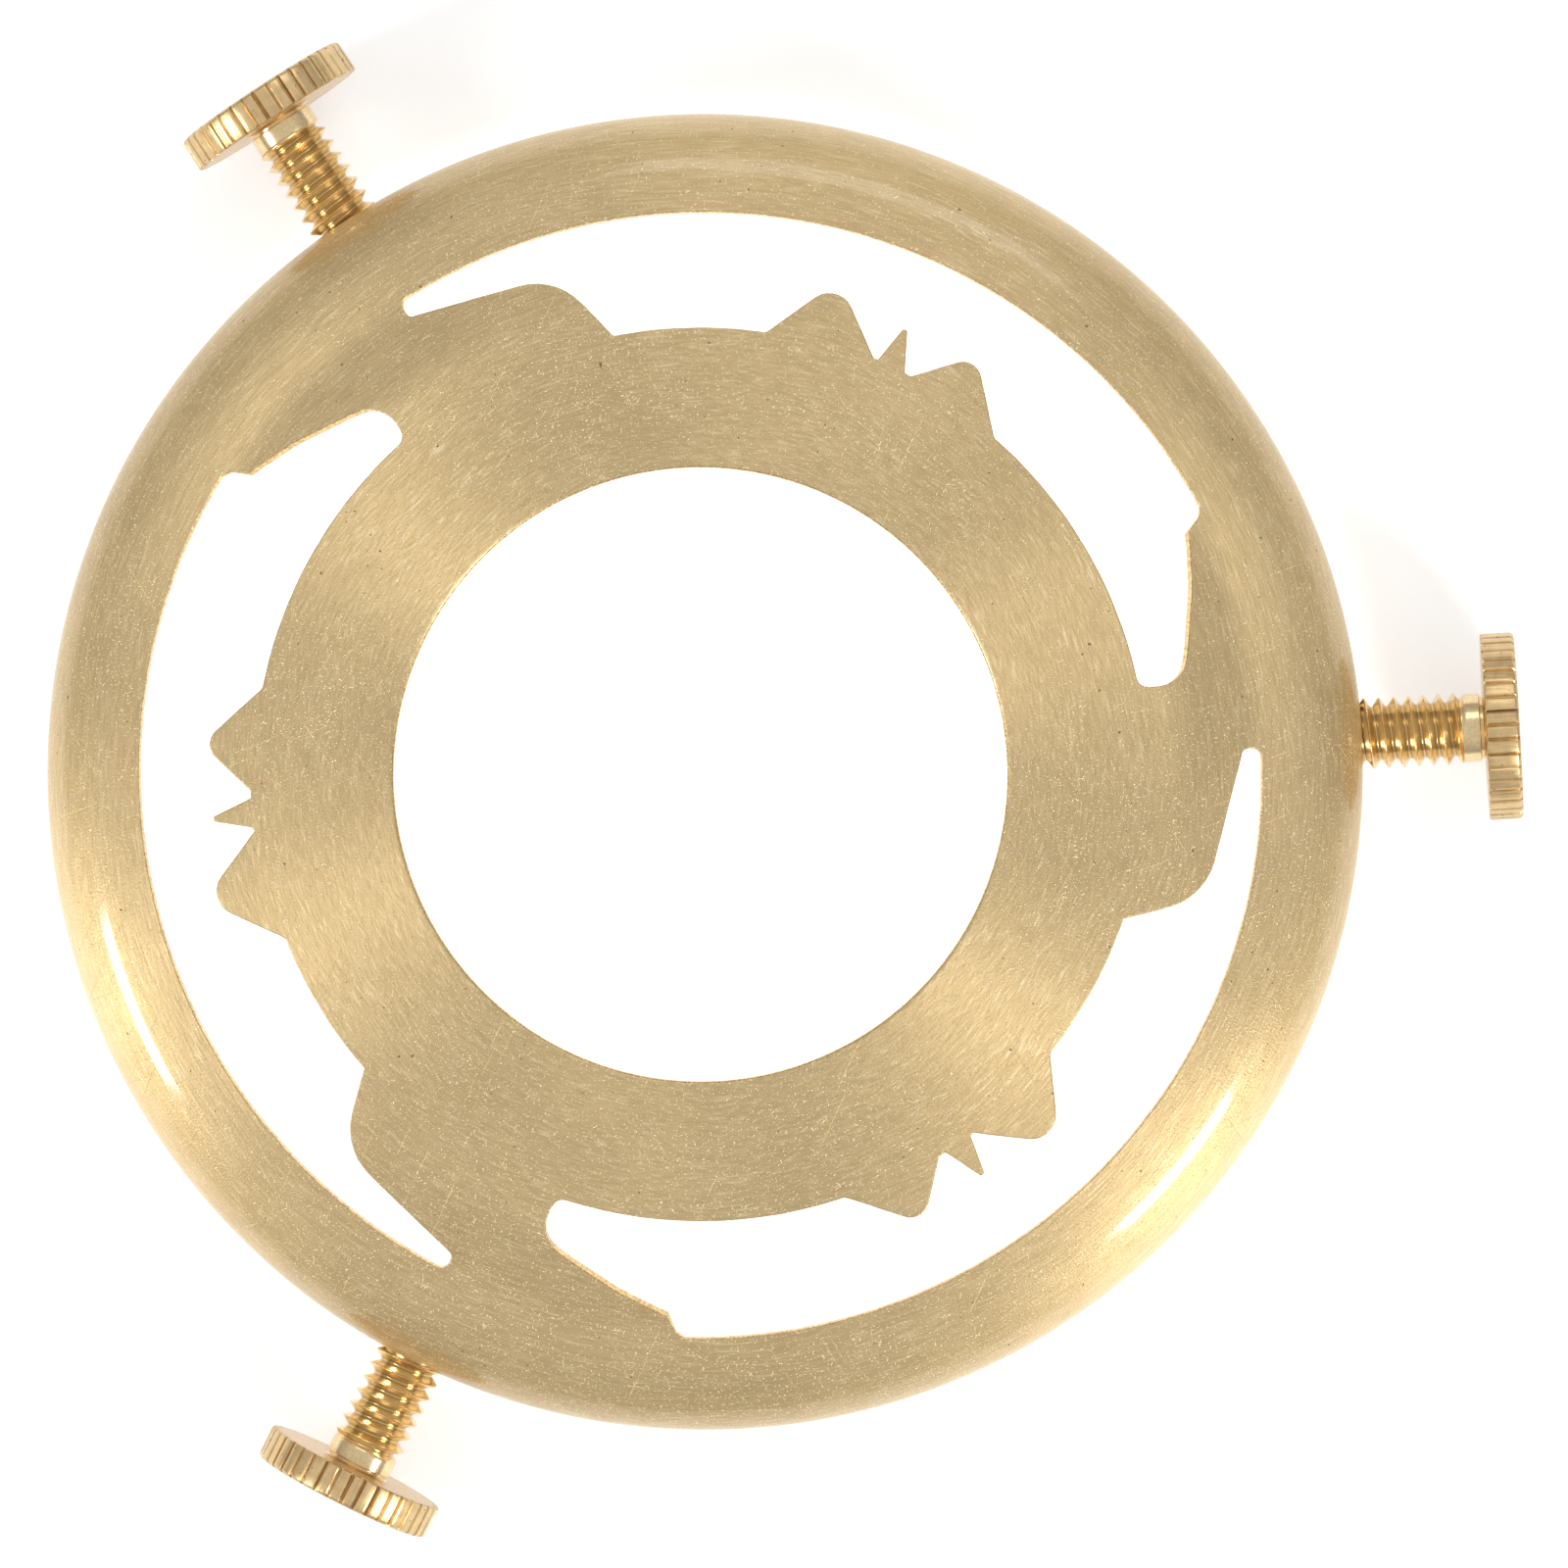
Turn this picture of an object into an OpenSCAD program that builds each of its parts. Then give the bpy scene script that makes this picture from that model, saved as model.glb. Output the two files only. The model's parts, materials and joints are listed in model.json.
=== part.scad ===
// Lampshade gallery: a pressed brass ring that hangs from a lampholder and grips the
// neck of a glass shade with three thumbscrews. Millimetres. The origin is on the axis
// of the lampholder hole, at the top face of the raised ring, with +Z up.

/* [Sheet] */
// Thickness of the pressed sheet
sheet_t = 0.8; // [0.5:0.05:1.2]

/* [Rim and skirt] */
// Outside diameter of the skirt
rim_d = 86.5; // [72:0.1:104]
// Outside radius of the shoulder between the annulus and the skirt
shoulder_r = 4.2; // [2:0.1:5]
// Height of the skirt, from the top of the annulus to the lower edge
skirt_h = 14.5; // [12:0.1:20]

/* [Raised ring and arms] */
// Diameter of the lampholder hole
lampholder_hole_d = 40; // [28:0.5:48]
// Height of the raised ring above the annulus
ring_rise = 2.6; // [1.5:0.1:4]
// Width of the annulus, from the cut-outs to the outside of the skirt
annulus_w = 6.45; // [5.2:0.05:8]
// Widest part of each cut-out, between the raised ring and the annulus
cutout_w = 7.65; // [6:0.05:9.5]
// Flat part of each arm, from the ring's edge to where the arm starts to fall
arm_flat_l = 2.25; // [1:0.05:3]
// Part of the slope's foot that shows inside the annulus
arm_foot_w = 0.55; // [0.2:0.05:1]
// How much each cut-out narrows from its wide end to its narrow end
cutout_taper = 0.35; // [0:0.05:0.6]

/* [Thumbscrew thread] */
// Outside diameter of the thread
screw_d = 4.76; // [3.5:0.01:6]
// Threads in 25.4 mm
threads_per_inch = 26; // [20:1:32]
// Depth of the thread
thread_depth = 0.6; // [0.4:0.05:0.7]
// Radial clearance between the thread and its hole
bore_clearance = 0.04; // [0.02:0.01:0.1]
// Length under the head, from the head to the tip
shank_l = 10; // [8.5:0.1:12]
// Diameter of the plain neck behind the head
neck_d = 4.5; // [3:0.1:4.6]
// Length of the plain neck
neck_l = 1.1; // [0.5:0.1:2]
// Length of the screw's point
point_l = 0.8; // [0.5:0.1:1.5]
// Diameter of the flat end of the point
point_d = 2.4; // [1.5:0.1:3]

/* [Thumbscrew head] */
// Diameter over the ribs
head_d = 12.3; // [10:0.1:15]
// Thickness of the head
head_t = 2.2; // [1.5:0.1:4]
// Number of ribs round the edge
rib_count = 40; // [24:1:60]
// Depth of the grooves between the ribs
rib_depth = 0.35; // [0.1:0.05:0.5]
// Chamfer on both edges of the head
head_chamfer = 0.3; // [0.1:0.05:0.6]

/* [Thumbscrew place] */
// Depth of the screws' axis below the top of the annulus
screw_drop = 8; // [7:0.1:10]
// Gap between the skirt and the head, as stored
rest_gap = 8.1; // [7.8:0.05:8.4]
// Length of the tapped collar that stands inside the skirt
collar_l = 0.9; // [0.3:0.05:1.5]
// Wall of the tapped collar
collar_wall = 0.75; // [0.5:0.05:1.2]

/* [Hidden] */
$fn = 96;
TURN = 120;          // the arms, cut-outs and screws repeat three times round
EPS = 0.01;
CLEAR = 1;           // how far a cutting shape runs past what it cuts
rim_r = rim_d / 2;
wall_r = rim_r - sheet_t;
hole_r = lampholder_hole_d / 2;
cutout_r = rim_r - annulus_w;
ring_edge_r = cutout_r - cutout_w;
slope_top_r = ring_edge_r + arm_flat_l;
slope_foot_r = cutout_r - arm_foot_w;
slope_angle = atan2(ring_rise, slope_foot_r - slope_top_r);
bend_shift = sheet_t * tan(slope_angle / 2);
annulus_z = -ring_rise;
edge_z = annulus_z - skirt_h;
screw_z = annulus_z - screw_drop;
screw_r = screw_d / 2;
bore_r = screw_r + bore_clearance;
collar_r = bore_r + collar_wall;
pitch = 25.4 / threads_per_inch;
thread_flat = pitch / 6;
head_face_r = rim_r + rest_gap;
tip_r = head_face_r - shank_l;
thread_start_r = tip_r + point_l;
thread_end_r = head_face_r - neck_l;
brass = [0.79, 0.68, 0.48];
bright_brass = [0.84, 0.72, 0.50];

// The corners of one cut-out: the share of its width, 0 at the raised ring and 1 at the
// annulus, the angle, and the radius of the rounded corner. The ring's edge and the
// annulus's edge are the arcs between their end corners.
FOOT_CORNERS = [[0, 8.1, 0.7], [0.35, 7.1, 2], [0.63, 17.4, 8], [0.80, 23.1, 0.5],
                [0.95, 24, 0.3], [1, 24.9, 0.6]];
END_CORNERS = [[1, 119.5, 0.5], [0.865, 119.3, 0.4], [0.65, 102.9, 4.2], [0, 97.9, 0.3]];
TEETH_CORNERS = [[0, 78.2, 0.6], [0.58, 71, 1.6], [0.03, 64, 0.15], [0.04, 63.5, 0.1],
                 [0.43, 62, 0.2], [0.03, 59.7, 0.15], [0.03, 58.8, 0.3],
                 [0.465, 53.2, 1.2], [0, 45.6, 0.6]];
TEETH_MARGIN = 2;    // degrees of plain ring on each side of the teeth, for their fillets
TEETH_ROOT = -0.1;   // share of the cut-out's width by which the teeth are rooted in the ring
ARC_STEP = 4;        // degrees between points along the two long arcs
CORNER_STEPS = 5;

function taper(a) = cutout_taper * (a - FOOT_CORNERS[5][1]) / (END_CORNERS[0][1] - FOOT_CORNERS[5][1]);
function at(share, a) = (ring_edge_r + share * (cutout_w - max(0, taper(a)))) * [cos(a), sin(a)];
function corner(c) = [at(c[0], c[1]).x, at(c[0], c[1]).y, c[2]];
function long_arc(share, a0, a1) =
    let (n = ceil(abs(a1 - a0) / ARC_STEP))
    [for (i = [1:n - 1]) corner([share, a0 + (a1 - a0) * i / n, 0])];
function unit(v) = v / norm(v);
function xy(p) = [p.x, p.y];

// One corner of an outline, rounded as far as its two sides leave room for it
function rounded_corner(before, p, after) =
    let (u = unit(xy(before) - xy(p)),
         v = unit(xy(after) - xy(p)),
         half = acos(max(-1, min(1, u * v))) / 2,
         room = 0.6 * min(norm(xy(before) - xy(p)), norm(xy(after) - xy(p))),
         r = min(p.z, room * tan(half)))
    r < 0.05 || half > 88 ? [xy(p)] :
    let (centre = xy(p) + unit(u + v) * r / sin(half),
         from = xy(p) + u * r / tan(half) - centre,
         turn = sign(u.x * v.y - u.y * v.x) * (180 - 2 * half))
    [for (i = [0:CORNER_STEPS])
        let (a = -turn * i / CORNER_STEPS)
        centre + [from.x * cos(a) - from.y * sin(a), from.x * sin(a) + from.y * cos(a)]];

function rounded(outline) =
    let (n = len(outline))
    [for (i = [0:n - 1])
        each rounded_corner(outline[(i + n - 1) % n], outline[i], outline[(i + 1) % n])];

function corners(list) = [for (c = list) corner(c)];
cutout_outline = concat(
    corners(FOOT_CORNERS),
    long_arc(1, FOOT_CORNERS[5][1], END_CORNERS[0][1]),
    corners(END_CORNERS),
    long_arc(0, END_CORNERS[3][1], FOOT_CORNERS[0][1]));
teeth_outline = concat(
    [corner([0, TEETH_CORNERS[0][1] + TEETH_MARGIN, 0])],
    corners(TEETH_CORNERS),
    [corner([0, TEETH_CORNERS[8][1] - TEETH_MARGIN, 0])],
    long_arc(TEETH_ROOT, TEETH_CORNERS[8][1] - TEETH_MARGIN, TEETH_CORNERS[0][1] + TEETH_MARGIN));

module cutout() {
    translate([0, 0, annulus_z - sheet_t - CLEAR])
        linear_extrude(ring_rise + sheet_t + 2 * CLEAR)
            polygon(rounded(cutout_outline));
}

// The teeth stay flat, level with the raised ring, although they reach past its bend
module teeth() {
    translate([0, 0, -sheet_t])
        linear_extrude(sheet_t)
            polygon(rounded(teeth_outline));
}

// Half section of the sheet, drawn at X = radius
module sheet_section() {
    polygon([[hole_r, 0], [slope_top_r, 0],
             [slope_foot_r, annulus_z], [rim_r - shoulder_r + EPS, annulus_z],
             [rim_r - shoulder_r + EPS, annulus_z - sheet_t],
             [slope_foot_r - bend_shift, annulus_z - sheet_t],
             [slope_top_r - bend_shift, -sheet_t], [hole_r, -sheet_t]]);
    intersection() {
        translate([rim_r - shoulder_r, annulus_z - shoulder_r]) difference() {
            circle(shoulder_r);
            circle(shoulder_r - sheet_t);
        }
        translate([rim_r - shoulder_r, annulus_z - shoulder_r])
            square(shoulder_r);
    }
    translate([wall_r, edge_z])
        square([sheet_t, skirt_h - shoulder_r + EPS]);
}

// Things drawn along +X are put at one of the three screw places
module at_screw(number) {
    rotate([0, 0, TURN * (number - 1)])
        translate([0, 0, screw_z])
            rotate([0, 90, 0])
                children();
}

module gallery_body() {
    color(brass) union() {
        difference() {
            union() {
                rotate_extrude() sheet_section();
                for (number = [1:3]) at_screw(number)
                    translate([0, 0, wall_r - collar_l])
                        cylinder(h = collar_l + sheet_t / 2, r = collar_r);
            }
            for (number = [1:3]) {
                rotate([0, 0, TURN * (number - 1)]) cutout();
                at_screw(number)
                    translate([0, 0, wall_r - collar_l - CLEAR])
                        cylinder(h = collar_l + sheet_t + 2 * CLEAR, r = bore_r);
            }
        }
        for (number = [1:3]) rotate([0, 0, TURN * (number - 1)]) teeth();
    }
}

// Half section of the shank, as [radius, distance from the lamp's axis]: a ridge and a
// groove for each turn of the thread
thread_turns = floor((thread_end_r - thread_start_r) / pitch);
shank_points = concat(
    [[0, thread_start_r], [screw_r - thread_depth, thread_start_r]],
    [for (i = [0:thread_turns - 1], step = [0:3])
        [screw_r - (step == 0 || step == 3 ? thread_depth : 0),
         thread_start_r + pitch * (i + [1, 3, 4, 6][step] / 6) - thread_flat / 2]],
    [[neck_d / 2 - EPS, thread_end_r], [neck_d / 2 - EPS, head_face_r + EPS],
     [0, head_face_r + EPS]]);

// A flat-topped rib and a groove for each step round the head
rib_points = [for (i = [0:rib_count - 1], step = [0:3])
    let (a = 360 / rib_count * (i + [0, 0.42, 0.58, 0.84][step] - 0.21),
         r = head_d / 2 - (step < 2 ? 0 : rib_depth))
    r * [cos(a), sin(a)]];

module ribbed_head() {
    translate([0, 0, head_face_r]) intersection() {
        linear_extrude(head_t) polygon(rib_points);
        rotate_extrude() polygon([
            [0, 0], [head_d / 2 - head_chamfer, 0], [head_d / 2 + EPS, head_chamfer],
            [head_d / 2 + EPS, head_t - head_chamfer], [head_d / 2 - head_chamfer, head_t],
            [0, head_t]]);
    }
}

module thumbscrew(number) {
    color(bright_brass) at_screw(number) {
        rotate_extrude() polygon(shank_points);
        ribbed_head();
    }
}

module screw_point(number) {
    color(bright_brass) at_screw(number)
        translate([0, 0, tip_r])
            cylinder(h = point_l, r1 = point_d / 2, r2 = screw_r - thread_depth);
}

gallery_body();
thumbscrew(1);  // thumbscrew_1
thumbscrew(2);  // thumbscrew_2
thumbscrew(3);  // thumbscrew_3
screw_point(1);  // screw_point_1
screw_point(2);  // screw_point_2
screw_point(3);  // screw_point_3
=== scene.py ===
# %% [markdown]
# # A brass lampshade gallery
#
# A gallery hangs from a lampholder and holds a glass shade by its neck. This one is a single
# pressing in thin sheet brass, with three long thumbscrews through its skirt. Everything here
# is metal, so nearly all of the look comes from two things: bends and cut edges that are really
# rounded, and a brushed finish whose highlights run the right way. The shapes are worked out in
# millimetres, as on a workshop drawing, and turned into metres when a mesh is made.

import json
import math

import bpy
import numpy as np
from mathutils import Matrix, Vector
from mathutils.geometry import delaunay_2d_cdt

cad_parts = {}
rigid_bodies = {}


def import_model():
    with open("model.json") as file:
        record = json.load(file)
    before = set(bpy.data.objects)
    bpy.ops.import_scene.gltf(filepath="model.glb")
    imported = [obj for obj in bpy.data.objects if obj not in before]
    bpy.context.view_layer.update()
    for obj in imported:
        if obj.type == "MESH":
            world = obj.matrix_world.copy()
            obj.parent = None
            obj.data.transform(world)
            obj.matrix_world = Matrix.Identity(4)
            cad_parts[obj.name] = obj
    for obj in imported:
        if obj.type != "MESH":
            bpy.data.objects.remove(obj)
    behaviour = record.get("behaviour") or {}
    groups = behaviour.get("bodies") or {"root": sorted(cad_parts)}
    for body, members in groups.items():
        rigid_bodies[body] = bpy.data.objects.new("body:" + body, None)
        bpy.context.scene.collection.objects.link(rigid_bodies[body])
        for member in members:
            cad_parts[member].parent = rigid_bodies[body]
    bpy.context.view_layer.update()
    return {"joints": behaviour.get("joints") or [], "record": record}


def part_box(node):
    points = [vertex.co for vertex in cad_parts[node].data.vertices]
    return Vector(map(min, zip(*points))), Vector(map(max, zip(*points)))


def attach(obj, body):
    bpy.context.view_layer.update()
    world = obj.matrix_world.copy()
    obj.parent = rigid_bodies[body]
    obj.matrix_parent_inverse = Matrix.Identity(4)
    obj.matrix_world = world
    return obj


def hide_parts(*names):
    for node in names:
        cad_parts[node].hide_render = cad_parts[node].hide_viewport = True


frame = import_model()

# %% [markdown]
# ## Sizes
#
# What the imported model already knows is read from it: the rim, the depth of the skirt, the size
# of the lampholder's hole, the thickness of the sheet and the line of each screw. Only the
# shapes in between are set here, such as where the slope of an arm starts and ends.

# %% Sizes that come from the frame
MM = 0.001
body_low, body_high = [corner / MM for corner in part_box("gallery_body")]
screw_low, screw_high = [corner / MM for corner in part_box("thumbscrew_1")]
point_low, point_high = [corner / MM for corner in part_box("screw_point_1")]
mounts = {mount["name"]: mount for mount in frame["record"]["mounts"]}
turns = [joint for joint in frame["joints"] if joint["type"] == "hinge"]

rim_r = body_high.y
edge_z = body_low.z
hole_r = mounts["lampholder_hole"]["dims"]["r_mm"]
sheet_t = -mounts["shade_ring_seat"]["pos_m"][2] / MM
annulus_z = mounts["shade_lip_seat"]["pos_m"][2] / MM + sheet_t
screw_z = turns[0]["pos_m"][2] / MM
print("rim radius", round(rim_r, 2), "skirt edge at", round(edge_z, 2), "sheet", round(sheet_t, 2))

# %% [markdown]
# ## The section of the pressing
#
# A pressing is one sheet whose section runs from the hole outwards: flat ring, sloping arm,
# flat annulus, round shoulder, straight skirt. A lathe of that section would be the quick way,
# but the cut-outs cross the slope, so they would have to be cut afterwards with a Boolean, which
# leaves ragged triangles in every highlight. Instead the blank is laid out flat first, with its
# holes in it, and then formed, as the press does it. `section` is the forming tool: for a
# distance along the blank it gives the radius and the height of the skin.

# %% The forming tool
SLOPE_TOP_R = 31.4
SLOPE_FOOT_R = 36.25
TOP_BEND = 5.0
FOOT_BEND = 4.0
SHOULDER_WIDTH = 4.2
CROWN = 0.30
RING_DOME = 0.30

slope = math.atan2(-annulus_z, SLOPE_FOOT_R - SLOPE_TOP_R)
top_start = SLOPE_TOP_R - TOP_BEND * math.tan(slope / 2)
top_end = top_start + TOP_BEND * math.sin(slope)
foot_end = SLOPE_FOOT_R + FOOT_BEND * math.tan(slope / 2)
foot_start = foot_end - FOOT_BEND * math.sin(slope)
shoulder_start = rim_r - SHOULDER_WIDTH


def plan_height(r):
    """The height of the skin from the lampholder's hole to the start of the shoulder."""
    top = -TOP_BEND + np.sqrt(np.maximum(TOP_BEND**2 - (r - top_start) ** 2, 0))
    arm = -math.tan(slope) * (r - SLOPE_TOP_R)
    foot = annulus_z + FOOT_BEND - np.sqrt(np.maximum(FOOT_BEND**2 - (foot_end - r) ** 2, 0))
    z = np.select([r < top_start, r < top_end, r < foot_start, r < foot_end],
                  [0 * r, top, arm, foot], annulus_z)
    dome = RING_DOME * np.clip((r - hole_r) / (top_start - hole_r), 0, 1) ** 2
    crown = CROWN * np.clip((r - SLOPE_FOOT_R) / (shoulder_start - SLOPE_FOOT_R), 0, None) ** 2
    return z - dome * np.clip((foot_start - r) / (foot_start - top_start), 0, 1) - crown


STEP = 0.001


def plan_lean(r):
    """How far the skin's normal leans outwards, in radians."""
    return np.arctan2(plan_height(r - STEP) - plan_height(r + STEP), 2 * STEP)


start_z = float(plan_height(np.array(shoulder_start)))
start_lean = float(plan_lean(np.array(shoulder_start)))
shoulder_bend = SHOULDER_WIDTH / (1 - math.sin(start_lean))
skirt_start = shoulder_start + shoulder_bend * (math.pi / 2 - start_lean)
skirt_top_z = start_z - shoulder_bend * math.cos(start_lean)
blank_r = skirt_start + skirt_top_z - edge_z


def section(rho):
    """Radius, height and lean of the skin at a distance rho from the middle of the blank."""
    lean = start_lean + (rho - shoulder_start) / shoulder_bend
    round_r = shoulder_start + shoulder_bend * (np.sin(lean) - math.sin(start_lean))
    round_z = start_z - shoulder_bend * (math.cos(start_lean) - np.cos(lean))
    places = [rho < shoulder_start, rho < skirt_start]
    r = np.select(places, [rho, round_r], rim_r)
    z = np.select(places, [plan_height(rho), round_z], skirt_top_z - (rho - skirt_start))
    return r, z, np.select(places, [plan_lean(rho), lean], math.pi / 2)


print("slope", round(math.degrees(slope), 1), "degrees; radius of the blank", round(blank_r, 2))

# %% Form flat points into the skin
TEETH_FROM = 43
TEETH_TO = 81
TEETH_REACH = 34.6
THIRD = 120


def formed(flat):
    """Where points of the flat blank end up: place, normal and the way outwards along the skin.
    The teeth reach past the bend but stay level with the ring, because no tool presses them."""
    rho = np.hypot(flat[:, 0], flat[:, 1])
    outwards = flat / rho[:, None]
    angle = np.degrees(np.arctan2(flat[:, 1], flat[:, 0])) % THIRD
    tooth = (angle > TEETH_FROM) & (angle < TEETH_TO) & (rho > top_start) & (rho < TEETH_REACH)
    r, z, lean = section(np.where(tooth, top_start, rho))
    z = np.where(tooth, z - np.tan(lean) * (rho - top_start), z)
    r = np.where(tooth, rho, r)
    place = np.column_stack([outwards * r[:, None], z])
    normal = np.column_stack([outwards * np.sin(lean)[:, None], np.cos(lean)])
    along = np.column_stack([outwards * np.cos(lean)[:, None], -np.sin(lean)])
    return place, normal, along


# %% [markdown]
# ## The cut-outs
#
# Three equal holes leave the arms, and each has two blunt teeth with a spike between them, where
# the blank was cut. The corners are listed once, as a share of the hole's width, an angle and a
# radius, and the rest is arcs. A punched edge isn't a crisp line: the top rolls over where the
# punch went in and a fine burr stands at the bottom, so the outline also gets a slight waver.

# %% Corners of one cut-out
RING_EDGE_R = 29.15
CUTOUT_WIDTH = 7.65
CUTOUT_TAPER = 0.35
FOOT_CORNERS = [(0, 8.1, 0.7), (0.35, 7.1, 2), (0.63, 17.4, 8), (0.80, 23.1, 0.5),
                (0.95, 24, 0.3), (1, 24.9, 0.6)]
END_CORNERS = [(1, 119.5, 0.5), (0.865, 119.3, 0.4), (0.65, 102.9, 4.2), (0, 97.9, 0.3)]
TEETH_CORNERS = [(0, 78.2, 0.6), (0.58, 71, 1.6), (0.03, 64, 0.15), (0.04, 63.5, 0.1),
                 (0.43, 62, 0.2), (0.03, 59.7, 0.15), (0.03, 58.8, 0.3),
                 (0.465, 53.2, 1.2), (0, 45.6, 0.6)]
ARC_STEP = 2
CORNER_STEPS = 7


def drawn(share, angle, radius=0):
    """One corner of the outline as x, y and the radius of its rounding."""
    first, last = FOOT_CORNERS[-1][1], END_CORNERS[0][1]
    taper = CUTOUT_TAPER * max(0, (angle - first) / (last - first))
    r = RING_EDGE_R + share * (CUTOUT_WIDTH - taper)
    return r * math.cos(math.radians(angle)), r * math.sin(math.radians(angle)), radius


def long_arc(share, start, end):
    steps = math.ceil(abs(end - start) / ARC_STEP)
    return [drawn(share, start + (end - start) * i / steps) for i in range(1, steps)]


def rounded_corner(before, corner, after):
    """The points that round one corner, as far as its sides leave room for it."""
    here = np.array(corner[:2])
    back = np.array(before[:2]) - here
    ahead = np.array(after[:2]) - here
    room = 0.6 * min(np.linalg.norm(back), np.linalg.norm(ahead))
    back /= np.linalg.norm(back)
    ahead /= np.linalg.norm(ahead)
    half = math.acos(np.clip(back @ ahead, -1, 1)) / 2
    radius = min(corner[2], room * math.tan(half))
    if radius < 0.05 or math.degrees(half) > 88:
        return [here]
    middle = here + (back + ahead) / np.linalg.norm(back + ahead) * radius / math.sin(half)
    spoke = here + back * radius / math.tan(half) - middle
    sweep = -math.copysign(math.pi - 2 * half, back[0] * ahead[1] - back[1] * ahead[0])
    arc = []
    for step in range(CORNER_STEPS + 1):
        c, s = math.cos(sweep * step / CORNER_STEPS), math.sin(sweep * step / CORNER_STEPS)
        arc.append(middle + [spoke[0] * c - spoke[1] * s, spoke[0] * s + spoke[1] * c])
    return arc


corners = [drawn(*corner) for corner in FOOT_CORNERS]
corners += long_arc(1, FOOT_CORNERS[-1][1], END_CORNERS[0][1])
corners += [drawn(*corner) for corner in END_CORNERS]
corners += long_arc(0, END_CORNERS[-1][1], TEETH_CORNERS[0][1])
corners += [drawn(*corner) for corner in TEETH_CORNERS]
corners += long_arc(0, TEETH_CORNERS[-1][1], FOOT_CORNERS[0][1])
outline = []
for i, corner in enumerate(corners):
    outline += rounded_corner(corners[i - 1], corner, corners[(i + 1) % len(corners)])
print("points in one cut-out:", len(outline))

# %% Divide an outline finely, and find the way off the metal
EDGE_STEP = 0.32
WAVES = (31, 53, 79, 113, 151)
WAVER_DEPTH = 0.009


def divided(loop, step):
    """A closed outline with extra points, so that none are further apart than step."""
    points = []
    for here, after in zip(loop, np.roll(loop, -1, axis=0)):
        parts = max(1, math.ceil(np.linalg.norm(after - here) / step))
        points += [here + (after - here) * i / parts for i in range(parts)]
    return np.array(points)


def off_metal(loop):
    """At each point of an outline with the metal on its right, the way off the metal."""
    ahead = np.roll(loop, -1, axis=0) - loop
    ahead /= np.linalg.norm(ahead, axis=1)[:, None]
    both = ahead + np.roll(ahead, 1, axis=0)
    both /= np.linalg.norm(both, axis=1)[:, None]
    return np.column_stack([-both[:, 1], both[:, 0]])


def wavered(loop, depth, seed):
    """The outline with a fine waver, as a worn punch leaves it."""
    chance = np.random.default_rng(seed)
    share = np.arange(len(loop)) / len(loop)
    waver = np.zeros(len(loop))
    for waves in WAVES:
        waver += np.sin(2 * math.pi * (waves * share + chance.random())) / waves**0.5
    return loop + off_metal(loop) * (depth * 4 * waver / 1.5)[:, None]


# %% [markdown]
# ## Edges
#
# An edge is a short list of steps round the thickness of the sheet: how far in from the cut,
# how deep below the skin, and how far the normal has turned from straight up. Setting normals
# in this way gives a soft glint along each edge without a Bevel modifier, which would
# stumble over the tiny teeth. The lampholder's hole gets a wider roll, as a big punch leaves.

# %% Steps round each kind of edge
CUT_EDGE = [(0.09, 0, 0), (0.055, 0.015, 25), (0.02, 0.06, 60), (0, 0.14, 88),
            (0, 0.66, 90), (0.015, 0.76, 115), (0.09, sheet_t, 180)]
HOLE_EDGE = [(0.34, 0, 0), (0.22, 0.02, 12), (0.12, 0.06, 30), (0.04, 0.14, 58),
             (0, 0.26, 86), (0, 0.66, 90), (0.03, 0.76, 130), (0.34, sheet_t, 180)]
SKIRT_EDGE = [(0.2, 0, 0), (0.1, 0.03, 28), (0.03, 0.1, 60), (0, 0.2, 88),
              (0, 0.62, 90), (0.05, 0.75, 130), (0.2, sheet_t, 180)]


def edge_place(nominal, away, inset, depth, tilt):
    """Places and normals of one step round an edge."""
    place, normal, along = formed(nominal - away * inset)
    rho = np.linalg.norm(nominal, axis=1)
    outwards = nominal / rho[:, None]
    sideways = np.column_stack([-outwards[:, 1], outwards[:, 0]])
    flat_run = np.column_stack([away[:, 1], -away[:, 0]])
    rise = np.where(rho < shoulder_start, np.hypot(along[:, 0], along[:, 1]), 1)
    run = along * ((flat_run * outwards).sum(1) / rise)[:, None]
    run[:, :2] += sideways * (flat_run * sideways).sum(1)[:, None]
    off = np.cross(normal, run)
    off /= np.linalg.norm(off, axis=1)[:, None]
    turned = normal * math.cos(math.radians(tilt)) + off * math.sin(math.radians(tilt))
    return place - normal * depth, turned


# %% [markdown]
# ## The blank, cut and formed
#
# The blank is filled with an even mesh of rings and spokes, and a constrained Delaunay
# triangulation ties that mesh to the outlines of all the holes, so the triangles stay well
# shaped right up to each edge. The same triangles serve the outer skin and the inner skin, one
# sheet thickness apart, and the edge steps close the gap between them.

# %% Outlines on the blank
SCREWS = len(turns)
TAP_FLANGE_R = 3.5
TAP_POINTS = 64
HOLE_POINTS = 360
SKIRT_POINTS = 480
bore_rho = skirt_start + skirt_top_z - screw_z


def turned_by(points, angle):
    c, s = math.cos(angle), math.sin(angle)
    return points @ np.array([[c, s], [-s, c]])


def circle(r, count, way):
    angles = way * 2 * math.pi * np.arange(count) / count
    return r * np.column_stack([np.cos(angles), np.sin(angles)])


def on_skirt(radius):
    """A circle of that radius round a screw's axis, laid back onto the flat blank."""
    ring = circle(radius, TAP_POINTS, 1)
    angle = np.arcsin(ring[:, 0] / rim_r)
    rho = bore_rho - ring[:, 1]
    return rho[:, None] * np.column_stack([np.cos(angle), np.sin(angle)]), ring


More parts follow.
